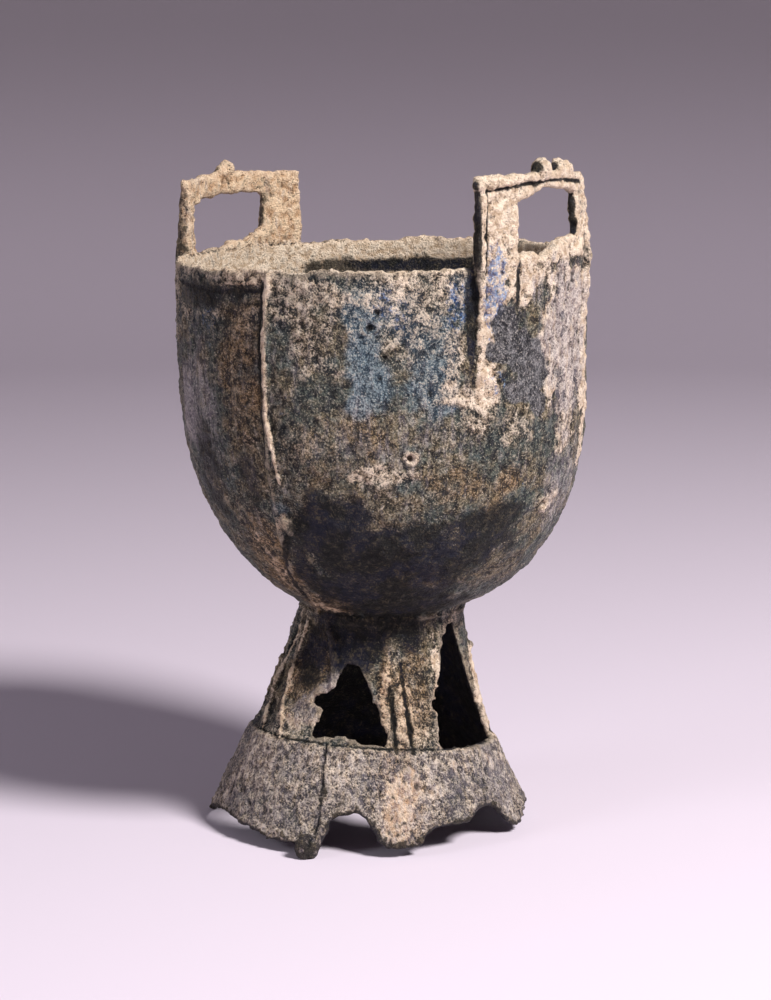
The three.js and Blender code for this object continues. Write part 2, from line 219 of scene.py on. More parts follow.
SLATE = [
    (-16, 208, 5, 8, 1),
    (-13, 201, 8, 7, 1),
    (-6, 191, 5.5, 9, 1),
    (-10, 184, 6, 5, 0.9),
    (-4, 179, 4, 5, 0.9),
]
OCHRE = [
    (-15, 150, 4, 6, 1),
    (-56, 170, 7, 10, 0.6),
    (-30, 150, 9, 8, 0.6),
    (-92, 195, 8, 30, 0.8),
    (-97, 115, 15, 24, 0.8),
    (-74, 140, 2.2, 2.8, 1),
    (-36, 111, 16, 5, 0.6),
    (-18, 138, 4, 8, 0.6),
    (-88, 95, 22, 8, 0.9),
    (-95, 66, 16, 24, 0.9),
    (-46, 60, 5, 22, 0.9),
    (-30, 60, 12, 18, 0.8),
    (-38, 20, 9, 16, 0.8),
    (-62, 84, 30, 6, 0.6),
    (2, 64, 8, 24, 0.6),
    (-70, 165, 14, 16, 0.4),
]
FILM_AND_SHEEN = [
    (10, 200, 14, 34, 0.75),
    (16, 196, 4, 12, 0.6),
    (-4, 222, 4, 8, 0.5),
    (-18, 24, 16, 11, 0.55),
    (-90, 26, 8, 8, 0.5),
    # These two are a painted sheen along the bowl's left side.
    (-112, 176, 10, 32, 0.5),
    (-122, 172, 7, 18, 0.9),
    (-48, 170, 22, 14, 0.3),
    (14, 142, 14, 20, 0.5),
    (-75, 60, 7, 6, 0.8),
    (15, 22, 16, 16, 0.7),
    (-72, 205, 12, 24, 0.2),
    (-90, 48, 10, 8, 0.6),
]
STREAKS = [
    (8, 190, 22, 50, 1),
    (-36, 198, 10, 24, 0.7),
    (180, 190, 30, 50, 0.6),
]

# Lines on the surface: half width, then the angle and height of each corner.
RIDGES = [
    (0.8, (-82, 231), (-83.5, 205), (-83.5, 175), (-82, 150)),
    (0.5, (-104, 226), (-86, 227.5)),
    (0.6, (-98, 37), (-104, 50), (-109, 66), (-112, 84)),
    (0.6, (-114, 36), (-121, 48), (-124, 62), (-122, 82)),
    (0.8, (-91, 87), (-87, 81), (-80, 76), (-76, 66)),
]
# Dark cracks and seams, carved in. The first, second and fifth are painted shadow lines: under the right
# handle's ledge, beside its near leg's flange, and beside the bowl's seam.
CRACKS_AND_SHADOW_LINES = [
    (0.7, (-23, 260.3), (-10, 262.2), (4, 262.8), (18, 261)),
    (0.5, (-22.6, 259), (-22.6, 233)),
    (0.7, (-125, 225), (-104, 223.5), (-85, 224.5)),
    (1.0, (-83, 130), (-88, 120), (-94, 106), (-97, 97)),
    (0.6, (-84, 228), (-85.5, 200), (-85, 160)),
    (0.5, (-71.5, 37), (-70.2, 27), (-69.8, 14), (-71, 0)),
    (0.25, (-128, 37.5), (-98, 37.2), (-60, 37.2), (-20, 36.8), (20, 37)),
    (0.9, (-39.5, 36), (-40, 46), (-43, 60)),
    (0.8, (-31.8, 36), (-32.2, 46), (-35, 58), (-37, 70)),
]

# Pits with a raised lip: angle, height, radius and depth.
PITS = [
    (-44, 161, 1.6, 1.5),
    (-54, 211, 2.0, 1.2),
    (-52, 217, 1.2, 0.8),
    (3, 138, 1.8, 1.3),
    (7, 135, 1.4, 1.1),
    (0, 141, 1.2, 0.9),
    (-50, 200, 1.2, 0.8),
]

# The camera: its place around the vessel's axis in millimetres, its focal length and the height of its
# frame in pixels, its sensor in millimetres, and how far it sees in metres.
CAMERA_AT = -51
CAMERA_DISTANCE = 1140
CAMERA_HEIGHT = 321.6
AIM_HEIGHT = 132.0
AIM_ASIDE = 1.8
FRAME_HEIGHT = 1000
FOCAL = 2841
SENSOR = 36
SEES_TO = 20

# Lights: angle from the camera, distance and height in millimetres, size in metres, power and colour.
KEY = (48, 1350, 1400, 0.5, 53, (1.0, 0.975, 0.965))
FILL = (-60, 1300, 700, 0.5, 3.4, (0.92, 0.95, 1.0))
LIGHTS_AIM_HEIGHT = 130
SURROUND = (0.13, 0.118, 0.135, 1)

# The paper that the vessel stands on, which curves up into a wall, pale below and darkened above as painted
# shade.
FLOOR_RADIUS = 1.6
CURVE_RADIUS = 1.6
CURVE_STARTS = 0.1
CURVE_STEPS = 12
WALL_TOP = 3.2
PAPER_SIDES = 64
PAPER_PALE = (0.755, 0.672, 0.765, 1)
PAPER_PAINTED_SHADE = (0.42, 0.37, 0.42, 1)
PAPER_PAINTED_SHADE_HEIGHT = 0.36
PAPER_ROUGHNESS = 0.9

# Between these heights of a grain, a layer goes from covering nothing to covering all.
GRAIN_LEAST = 0.30
GRAIN_MOST = 0.70

# Sockets of a Mix node for colours: its two inputs and its output.
MIX_FIRST = 6
MIX_SECOND = 7
MIX_RESULT = 2


def smoothstep(x, low, high):
    t = np.clip((x - low) / (high - low), 0, 1)
    return t * t * (3 - 2 * t)


def turn_back(angle):
    """An angle brought between -180 and 180."""
    return (angle + 180) % 360 - 180


# ---------------------------------------------------------------- the casting's own coordinates


def settle(p):
    """Where points of the upright casting went when it settled."""
    x, y, z = p.T
    angle = np.degrees(np.arctan2(y, x))
    bowl = BOWL_LEAN * (1 - smoothstep(z, 100, 215)) * smoothstep(z, 87, 101)
    foot = FOOT_LEAN * (1 - smoothstep(z, 20, 98))
    rim = RIM_TILT * np.cos(np.radians(angle - RIM_TILT_TOWARDS)) * smoothstep(z, 130, RIM_Z)
    waist = np.sin(np.pi * np.clip(z / NECK_Z, 0, 1))
    skirt = SKIRT_TILT * np.cos(np.radians(angle - SKIRT_TILT_TOWARDS)) * waist
    from_dent = np.hypot(turn_back(angle - DENT_AT) / DENT_WIDE, (z - DENT_Z) / DENT_HIGH)
    dent = 1 - (DENT_DEEP / FOOT_R) * smoothstep(1 - from_dent, 0, 0.8)
    towards = math.radians(LEAN_TOWARDS)
    return np.stack(
        [
            x * dent + (bowl + foot) * math.cos(towards),
            y * dent + (bowl + foot) * math.sin(towards),
            z + rim + skirt,
        ],
        axis=1,
    )


def unsettle(settled):
    """The points of the upright casting that settled there."""
    upright = settled.copy()
    for _ in range(UNSETTLE_ROUNDS):
        upright += settled - settle(upright)
    return upright


def polar(p):
    """Angle, height and radius of each point."""
    return np.degrees(np.arctan2(p[:, 1], p[:, 0])), p[:, 2], np.hypot(p[:, 0], p[:, 1])


def bowl_radius(z, radius=BOWL_R, depth=BOWL_DEPTH):
    down = np.clip((BOWL_TURN_Z - z) / depth, 0, 1)
    return radius * np.sqrt(1 - down**BOWL_POWER)


def faceted_radius(z, radius, depth, steps):
    """Radius at height z of the same curve drawn with straight steps."""
    down = np.sin(np.radians(90 * np.arange(steps, -1, -1) / steps))
    return np.interp(z, BOWL_TURN_Z - depth * down, radius * np.sqrt(1 - down**BOWL_POWER))


def foot_radius(z):
    down = np.clip((NECK_Z - z) / NECK_Z, 0, 1)
    return NECK_R + (FOOT_R - NECK_R) * down**FOOT_POWER + np.where(z < SKIRT_Z, SKIRT_STEP, 0)


# ---------------------------------------------------------------- noise


def lattice(cell, seed):
    """A random number from 0 to 1 for each whole-numbered cell, mixed from large primes."""
    mixed = cell[:, 0] * 73856093 ^ cell[:, 1] * 19349663 ^ cell[:, 2] * 83492791 ^ seed * 26544357
    mixed = (mixed ^ (mixed >> 13)) * 1274126177
    return ((mixed ^ (mixed >> 16)) & 0xFFFFF) / 0xFFFFF


def noise(p, size, seed):
    """Smooth random bumps from -1 to 1, about size across."""
    q = p / size
    cell = np.floor(q).astype(np.int64)
    part = q - cell
    part = part * part * (3 - 2 * part)
    total = np.zeros(len(p))
    for corner in product((0, 1), repeat=3):
        share = np.prod(np.where(corner, part, 1 - part), axis=1)
        total += share * lattice(cell + np.array(corner), seed)
    return 2 * total - 1


def rough(p, size, seed, octaves=3):
    """Noise with finer and weaker noise on it."""
    return sum(noise(p, size / 2**k, seed + k) / WEAKER**k for k in range(octaves)) / WHOLE


def grains(p, size, seed):
    """Distance to the nearest of scattered points about size apart, in units of size."""
    q = p / size
    cell = np.floor(q).astype(np.int64)
    nearest = np.full(len(p), np.inf)
    for step in product((-1, 0, 1), repeat=3):
        near = cell + np.array(step)
        point = near + np.stack([lattice(near, seed + k) for k in range(3)], axis=1)
        nearest = np.minimum(nearest, ((point - q) ** 2).sum(axis=1))
    return np.sqrt(nearest)


# ---------------------------------------------------------------- the fine mesh


def points(mesh):
    co = np.empty(len(mesh.vertices) * 3, np.float32)
    mesh.vertices.foreach_get("co", co)
    return co.reshape(-1, 3).astype(float)


def set_points(mesh, co):
    mesh.vertices.foreach_set("co", co.astype(np.float32).ravel())
    mesh.update()


def normals(mesh):
    out = np.empty(len(mesh.vertices) * 3, np.float32)
    mesh.vertex_normals.foreach_get("vector", out)
    return out.reshape(-1, 3).astype(float)


def upright(mesh):
    """The mesh's points in the upright casting's frame."""
    return unsettle(points(mesh) / MM + BOX_MIDDLE)


def push(mesh, distance, normal):
    """Where the mesh's points go when each moves that many millimetres along its normal."""
    return points(mesh) + (distance * MM)[:, None] * normal


def apply_modifiers(piece):
    depsgraph = bpy.context.evaluated_depsgraph_get()
    mesh = bpy.data.meshes.new_from_object(piece.evaluated_get(depsgraph))
    piece.modifiers.clear()
    piece.data = mesh


def remeshed(source):
    """The solid cut again into small even faces."""
    mesh = source.data.copy()
    mesh.materials.clear()
    piece = bpy.data.objects.new("bronze_casting", mesh)
    bpy.context.scene.collection.objects.link(piece)
    remesh = piece.modifiers.new("fine", "REMESH")
    remesh.mode = "VOXEL"
    remesh.voxel_size = VOXEL * MM
    smooth = piece.modifiers.new("soften", "SMOOTH")
    smooth.factor = SOFTEN
    smooth.iterations = SOFTEN_ROUNDS
    apply_modifiers(piece)
    return piece


def thinned(piece):
    """Fewer faces where the surface is plain."""
    piece.data.calc_loop_triangles()
    count = len(piece.data.loop_triangles)
    if count > TRIANGLES:
        decimate = piece.modifiers.new("thin", "DECIMATE")
        decimate.ratio = TRIANGLES / count
        apply_modifiers(piece)


def round_facets(p, normal):
    """How far each point moves out along its normal to lie on the true curves."""
    angle, z, radius = polar(p)
    beside = np.radians(angle % SEGMENT - SEGMENT / 2)
    around = radius * (np.cos(beside) / math.cos(math.radians(SEGMENT / 2)) - 1)
    inside = radius < bowl_radius(z) - WALL / 2
    outer = (BOWL_R, BOWL_DEPTH)
    inner = (BOWL_R - WALL, BOWL_DEPTH - FLOOR_WALL)
    outer_gap = bowl_radius(z, *outer) - faceted_radius(z, *outer, BOWL_STEPS)
    inner_gap = bowl_radius(z, *inner) - faceted_radius(z, *inner, INSIDE_STEPS)
    curved = (z > NECK_Z - 3) & (z < BOWL_TURN_Z)
    up = np.where(curved, np.where(inside, inner_gap, outer_gap), 0)
    outwards = (p[:, 0] * normal[:, 0] + p[:, 1] * normal[:, 1]) / np.maximum(radius, 1)
    return (around + np.clip(up, -MOST_ROUNDING, MOST_ROUNDING)) * outwards


def hollows(mesh):
    """How deep each point lies under the surface around it, in millimetres."""
    ends = np.empty(2 * len(mesh.edges), np.int32)
    mesh.edges.foreach_get("vertices", ends)
    a, b = ends[0::2], ends[1::2]
    here = points(mesh)
    count = len(here)
    near = np.bincount(a, minlength=count) + np.bincount(b, minlength=count)
    level = here
    for _ in range(HOLLOW_ROUNDS):
        sums = [np.bincount(a, v[b], count) + np.bincount(b, v[a], count) for v in level.T]
        level = np.stack(sums, axis=1) / near[:, None]
    return ((level - here) * normals(mesh)).sum(axis=1) / MM


# ---------------------------------------------------------------- marks on the surface


def blobs(p, spots, ragged, soft=0.5):
    """How strongly patches cover each point, and how ragged and how soft their edges are."""
    angle, z, _ = polar(p)
    edge = ragged * rough(p, 13, seed=71) + 0.8 * ragged * rough(p, 4.5, seed=77, octaves=2)
    total = np.zeros(len(p))
    for at, height, half_angle, half_height, strength in spots:
        away = np.hypot(turn_back(angle - at) / half_angle, (z - height) / half_height) + edge
        total = np.maximum(total, strength * smoothstep(1 - away, -soft, soft))
    return total


def pits(p, spots):
    """Depth of round pits with a raised lip."""
    angle, z, radius = polar(p)
    depth = np.zeros(len(p))
    for at, height, size, deep in spots:
        across = np.radians(turn_back(angle - at)) * radius
        away = np.hypot(across, z - height) / size + 0.25 * noise(p, size, seed=91)
        rim = np.exp(-(((away - 1.5) / 0.35) ** 2))
        depth += deep * (1 - smoothstep(away, 0.3, 1.1)) - 0.3 * deep * rim
    return depth


def lines(p, routes):
    """How close each point is to lines on the surface, from 0 to 1."""
    angle, z, radius = polar(p)
    near = np.zeros(len(p))
    ragged = 0.7 * rough(p, 4, seed=87, octaves=2)
    for half_width, *corners in routes:
        for (at, low), (next_at, high) in zip(corners, corners[1:]):
            across = np.radians(turn_back(angle - at)) * radius
            run = np.radians(next_at - at) * radius
            rise = high - low
            along = np.clip((across * run + (z - low) * rise) / (run**2 + rise**2), 0, 1)
            away = np.hypot(across - along * run, z - low - along * rise) / half_width
            near = np.maximum(near, 1 - smoothstep(away + ragged, 0.5, 1.5))
    return near


# ---------------------------------------------------------------- corrosion


class Surface:
    """Points of the upright casting, and the zones that they are in, each from 0 to 1 or a mask."""

    def __init__(self, p, normal):
        self.p = p
        self.normal = normal
        self.angle, self.z, self.radius = polar(p)
        z, radius = self.z, self.radius
        self.in_bowl = (z > NECK_Z + 2) & (z < RIM_Z - 1) & (radius < bowl_radius(z) - WALL / 2)
        self.in_foot = (z < NECK_Z - 2) & (radius < foot_radius(z) - 0.7 * FOOT_WALL)
        self.left_half = np.abs(self.angle) > 90
        self.handle = smoothstep(z, RIM_Z - 3, RIM_Z + 3)
        self.skirt = 1 - smoothstep(z, SKIRT_Z - 1.5, SKIRT_Z + 1.5)
        self.low_bowl = smoothstep(z, NECK_Z - 4, NECK_Z + 6) * (1 - smoothstep(z, 120, 150))
        beside = turn_back(self.angle - SHOWN_MIDDLE)
        self.shown = smoothstep(beside, -100, -70) * (1 - smoothstep(beside, 75, 100))
        self.wide = rough(p, 34, seed=101)
        self.middling = rough(p, 12, seed=111)

    def scattered(self, size, seed, low, high, strength):
        """Patches of noise on the side that no patch is laid on."""
        return strength * smoothstep(rough(self.p, size, seed), low, high) * (1 - self.shown)

    def rim_shadow(self):
        """The inner wall under the rim, where a shadow of the rim is painted dark."""
        facing = np.cos(np.radians(self.angle - RIM_SHADOW_MIDDLE)) + 0.2 * self.middling
        lower = smoothstep(self.z, 216, 220)
        upper = 1 - smoothstep(self.z + 2 * self.middling, 222.5, 226)
        return smoothstep(facing, 0.2, 0.9) * lower * upper


def cream_crust(s):
    """Pale crust, before soot and slate cover it: patches, ridges, the inner wall and the handles, whose
    flanges get painted shade.
    """
    tan = 0.30 + 0.2 * s.wide + 0.12 * s.middling + 0.14 * smoothstep(s.z, 170, 230)
    tan = np.where(s.z < NECK_Z, 0.42 + 0.14 * s.wide + 0.10 * s.middling, tan)
    tan += 0.12 * s.skirt - 0.22 * s.low_bowl
    patches = blobs(s.p, TAN, ragged=0.8)
    tan = np.maximum(tan, patches)
    on_skirt = np.minimum(tan, np.maximum(0.53 + 0.12 * s.middling, patches))
    tan = np.where(s.skirt > 0.5, on_skirt, tan)
    tan = np.maximum(tan, 0.8 * lines(s.p, RIDGES))
    # The inner wall is paler towards the rim, except in the painted shadow under it.
    inner_wall = 0.38 + 0.1 * s.wide + 0.47 * smoothstep(s.z, 190, 218) * (1 - s.rim_shadow())
    tan = np.where(s.in_bowl, inner_wall, tan)
    # Painted shade: the handles' flanges and ledges outside the straps' faces get less cream and are
    # darkened, most on the left handle.
    outer_face = smoothstep(s.radius, STRAP_FACE - 0.4, STRAP_FACE + 0.6)
    flange_shade = outer_face * np.where(s.left_half, 0.85, 0.2)
    tan += s.handle * (0.84 + 0.16 * s.middling - tan) * (1 - flange_shade)
    return tan - s.handle * flange_shade * 0.2


def soot_and_shade(s):
    """Black: soot patches and soot under the bowl; painted shade on the handles' flanks, under the torn
    edge and on the window sills; and cracks, some of which are painted shadow lines.
    """
    # Painted shade: faces of the handles turned towards -Y are blackened, less on the left handle.
    handle_flank_shade = s.handle * smoothstep(-s.normal[:, 1], 0.5, 0.9) * np.where(s.left_half, 0.45, 1)
    under = 0.55 * s.low_bowl * (1 - s.shown) * smoothstep(s.wide, -0.4, 0.3)
    # Painted shade: faces of the skirt that turn downwards are blackened.
    edge = smoothstep(-s.normal[:, 2], -0.1, 0.6) * (s.z < SKIRT_Z)
    # Painted shade: faces at the windows' heights that don't face outwards, on the side without patches,
    # are blackened; they are the far inside of the foot, seen through the windows.
    turn = np.radians(s.angle)
    outwards = s.normal[:, 0] * np.cos(turn) + s.normal[:, 1] * np.sin(turn)
    at_windows = (s.z > SKIRT_Z - 2) * (s.z < NECK_Z - 4)
    far_sill_shade = (1 - smoothstep(outwards, 0.2, 0.6)) * at_windows * (1 - s.shown)
    black = np.maximum(blobs(s.p, BLACK, ragged=0.4), under)
    black = np.maximum(np.maximum(black, 0.8 * handle_flank_shade), 0.9 * np.maximum(edge, far_sill_shade))
    return np.maximum(black, 0.65 * lines(s.p, CRACKS_AND_SHADOW_LINES))


def stains(s):
    """How much of each colour of corrosion there is at each point, from 0 to 1."""
    outside = np.where(s.in_bowl | s.in_foot, 0.0, 1.0)
    slate = blobs(s.p, SLATE, ragged=0.5, soft=0.25)
    black = soot_and_shade(s)
    tan = np.clip(cream_crust(s) * (1 - 0.8 * black) * (1 - 0.9 * slate), 0, 1)
    teal = np.maximum(blobs(s.p, TEAL, ragged=0.45), s.scattered(26, 121, 0.35, 0.6, strength=0.5))
    ochre = np.maximum(blobs(s.p, OCHRE, ragged=0.4), s.scattered(30, 131, 0.05, 0.45, strength=0.45))
    ochre = np.maximum(ochre, 0.9 * s.handle * s.left_half)
    film_and_sheen = np.maximum(blobs(s.p, FILM_AND_SHEEN, ragged=0.4), 0.5 * s.skirt)
    film_and_sheen = np.maximum(film_and_sheen, s.scattered(28, 141, 0.0, 0.4, strength=0.4))
    # Inside the foot the cream is kept low and the black high, as painted shade; on the bowl's inner wall
    # the black is only the painted shadow under the rim.
    return {
        "tan": np.where(s.in_foot, 0.08, tan),
        "black": np.where(s.in_bowl, 0.9 * s.rim_shadow(), np.where(s.in_foot, 0.95, black)),
        "teal": teal * outside,
        "slate": slate * outside,
        "ochre": ochre * outside,
        "film_and_sheen": film_and_sheen * outside,
        "blue": blobs(s.p, BLUE, ragged=0.5, soft=0.4) * outside,
    }


def relief(s, stain):
    """Height of the surface over the plain casting, and how proud each grain of it stands."""
    crust = smoothstep(stain["tan"], 0.2, 0.75)
    calm = (1 - 0.8 * stain["slate"]) * np.where(s.in_bowl | s.in_foot, INSIDE_CALM, 1)
    grain = calm * (0.6 + 0.6 * crust) * (0.55 - grains(s.p, 2.3, seed=21))
    grain += 0.6 * calm * (0.7 + 0.5 * crust) * rough(s.p, 3.2, seed=25, octaves=2)
    hole = 1 - smoothstep(grains(s.p, 7, seed=31), 0.1, 0.3)
    hole *= smoothstep(rough(s.p, 25, seed=41), -0.3, 0.2)
    streak = rough(s.p * STREAKS_STRETCH, 3.4, seed=51) * blobs(s.p, STREAKS, ragged=0.3, soft=0.4)
    proud = grain - 0.25 * calm * hole + 0.6 * streak
    waves = rough(s.p, 18, seed=1)
    dimples = rough(s.p, 6, seed=5)
    height = WAVES_HIGH * waves + DIMPLES_HIGH * calm * dimples + GRAINS_HIGH * proud
    height += CRUST_HIGH * crust + RIDGES_HIGH * lines(s.p, RIDGES) - CRACKS_DEEP * lines(s.p, CRACKS_AND_SHADOW_LINES)
    height -= SLATE_DEEP * stain["slate"] + PITS_DEEP * pits(s.p, PITS)
    lip = smoothstep(s.z, RIM_Z - 3, RIM_Z) * smoothstep(s.normal[:, 2], 0.3, 0.9) * (s.z < RIM_Z + 6)
    height += lip * (LIP_HIGH * rough(s.p, 8, seed=61) - LIP_WORN)
    return height, proud


def bronze_casting():
    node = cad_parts["cauldron"]
    low, high = (np.array(corner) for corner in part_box("cauldron"))
    piece = remeshed(node)
    mesh = piece.data
    normal = normals(mesh)
    set_points(mesh, push(mesh, round_facets(upright(mesh), normal), normal))
    surface = Surface(upright(mesh), normals(mesh))
    layers = stains(surface)
    height, layers["proud"] = relief(surface, layers)
    set_points(mesh, np.clip(push(mesh, height, surface.normal), low, high))
    layers["hollow"] = hollows(mesh)
    # Painted shade: the skirt's rounded lower edge, which faces down, is blackened.
    skirt_lip_shade = smoothstep(-layers["hollow"], 0.25, 0.6) * (1 - smoothstep(surface.z, 20, 32))
    layers["black"] = np.maximum(layers["black"], 0.75 * skirt_lip_shade)
    for name, amount in layers.items():
        layer = mesh.attributes.new(name, "FLOAT", "POINT")
        layer.data.foreach_set("value", amount.astype(np.float32))
    thinned(piece)
    piece.data.shade_smooth()
    piece.data.materials.append(bronze())
    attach(piece, "root")
    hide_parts("cauldron")


# ---------------------------------------------------------------- materials


def srgb(red, green, blue):
    """The shader's colour for one given as it looks on a screen, from 0 to 255."""
    return tuple(((c / 255 + 0.055) / 1.055) ** 2.4 for c in (red, green, blue)) + (1,)


# Colours of the patina. Most are a dark and a light, which the grain picks between: random tone, and partly
# painted shade in its hollows and painted highlight on its proud tops.
WARM_METAL = srgb(34, 31, 27)
COLD_METAL = srgb(26, 33, 38)
WARM_DUST = srgb(146, 132, 102)
COLD_DUST = srgb(108, 117, 104)
OCHRES = (srgb(40, 31, 22), srgb(182, 140, 88))
TEALS = (srgb(44, 66, 84), srgb(156, 178, 188))
CREAMS = (srgb(202, 175, 146), srgb(252, 232, 208))
WARM_CREAMS = (srgb(206, 162, 122), srgb(254, 220, 180))
# Pale bloom, and the painted sheen on the bowl's left side.
FILM_AND_SHEEN_COLOURS = (srgb(128, 120, 126), srgb(214, 204, 200))
BLUES = (srgb(34, 62, 116), srgb(92, 150, 208))
# Soot, which also colours the painted shade of the black layer.
SOOT_AND_SHADE_COLOURS = (srgb(8, 16, 38), srgb(8, 7, 6))
SOOTY_GRAIN = srgb(76, 66, 48)
SLATES = (srgb(40, 40, 44), srgb(136, 134, 136))
PAINTED_GLINT = srgb(240, 226, 206)
PAINTED_EDGE_HIGHLIGHT = srgb(236, 214, 188)
PAINTED_RECESS_SHADE = srgb(22, 20, 18)
PAINTED_CREVICE_SHADE = srgb(20, 17, 16)
BUMP_DISTANCE = 3.0


class Recipe:
    """Adds nodes to one material."""

    def __init__(self, material):
        material.use_nodes = True
        self.tree = material.node_tree
        self.shader = self.tree.nodes["Principled BSDF"]
        self.place = self.tree.nodes.new("ShaderNodeTexCoord").outputs["Object"]

    def join(self, value, socket):
        """Links a socket to the socket, or sets a plain value on it."""
        if isinstance(value, bpy.types.NodeSocket):
            self.tree.links.new(value, socket)
        else:
            socket.default_value = value

    def stain(self, name):
        """An amount that the mesh holds for each point."""
        node = self.tree.nodes.new("ShaderNodeAttribute")
        node.attribute_name = name
        return node.outputs["Fac"]

    def noise(self, size, detail, roughness, stretch=None):
        """Noise about size millimetres across, which can be stretched along an axis."""
        node = self.tree.nodes.new("ShaderNodeTexNoise")
        node.inputs["Scale"].default_value = 1 / (size * MM)
        node.inputs["Detail"].default_value = detail
        node.inputs["Roughness"].default_value = roughness
        place = self.place
        if stretch:
            mapping = self.tree.nodes.new("ShaderNodeMapping")
            mapping.inputs["Scale"].default_value = stretch
            self.join(place, mapping.inputs["Vector"])
            place = mapping.outputs["Vector"]
        self.join(place, node.inputs["Vector"])
        return node.outputs["Fac"]

    def cells(self, size):
        """Distance to the nearest of points about size millimetres apart."""
        node = self.tree.nodes.new("ShaderNodeTexVoronoi")
        node.inputs["Scale"].default_value = 1 / (size * MM)
        self.join(self.place, node.inputs["Vector"])
        return node.outputs["Distance"]

    def math(self, operation, *values):
        node = self.tree.nodes.new("ShaderNodeMath")
        node.operation = operation
        for value, socket in zip(values, node.inputs):
            self.join(value, socket)
        return node.outputs[0]

    def sum(self, a, b, times=1.0):
        """a + b * times"""
        return self.math("MULTIPLY_ADD", b, times, a)

    def product(self, a, b):
        return self.math("MULTIPLY", a, b)

    def step(self, value, low, high, start=0.0, end=1.0):
        """From start to end, smoothly, as the value goes from low to high."""
        node = self.tree.nodes.new("ShaderNodeMapRange")
        node.interpolation_type = "SMOOTHSTEP"
        self.join(value, node.inputs["Value"])
        self.join(low, node.inputs["From Min"])
        self.join(high, node.inputs["From Max"])
        node.inputs["To Min"].default_value = start
        node.inputs["To Max"].default_value = end
        return node.outputs["Result"]

    def blend(self, share, first, second):
        """The first colour, and the second where its share is 1."""
        node = self.tree.nodes.new("ShaderNodeMix")
        node.data_type = "RGBA"
        self.join(share, node.inputs["Factor"])
        self.join(first, node.inputs[MIX_FIRST])
        self.join(second, node.inputs[MIX_SECOND])
        return node.outputs[MIX_RESULT]

    def covered(self, amount, grain, soft):
        """Where a grain shows, when it covers that share of the surface."""
        limit = self.step(amount, 0.0, 1.0, start=GRAIN_MOST, end=GRAIN_LEAST)
        return self.step(self.sum(grain, limit, -1.0), -soft, soft)


